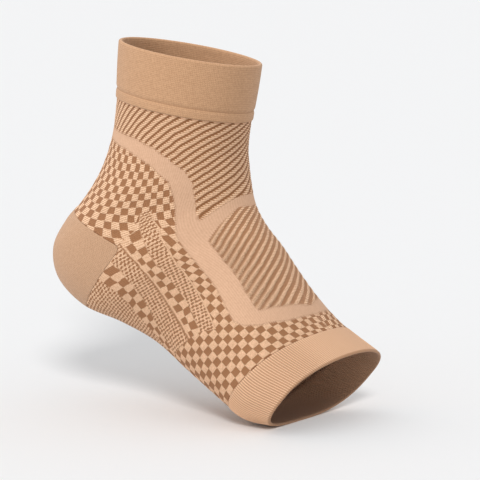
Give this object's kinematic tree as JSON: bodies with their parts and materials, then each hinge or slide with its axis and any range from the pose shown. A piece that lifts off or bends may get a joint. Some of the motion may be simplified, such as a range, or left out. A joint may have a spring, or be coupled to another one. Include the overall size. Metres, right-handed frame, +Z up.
{
  "type": "arch support sleeve",
  "caption": "Open-toe knitted compression sleeve in its worn form: double cuff at the leg, patterned body round ankle and arch, plain heel cup and ribbed band at the toes.",
  "frame": {"origin": "centre of the ankle, midway between the two ankle bones, on the sleeve's middle plane", "axes": "+X forward to the toes, +Y to the big-toe side, +Z up the leg"},
  "size_m": [0.1739, 0.0821, 0.1986],
  "materials": {
    "plain_knit": "smooth matt plain knit, warm beige",
    "patterned_knit": "matt raised knit, light beige with brown check and slanting stripes",
    "ribbed_knit": "matt fine-ribbed elastic knit, warm beige"
  },
  "bodies": {
    "root": {"top_cuff": "plain_knit", "knitted_body": "patterned_knit", "heel_cup": "plain_knit", "toe_band": "ribbed_knit"}
  },
  "joints": []
}
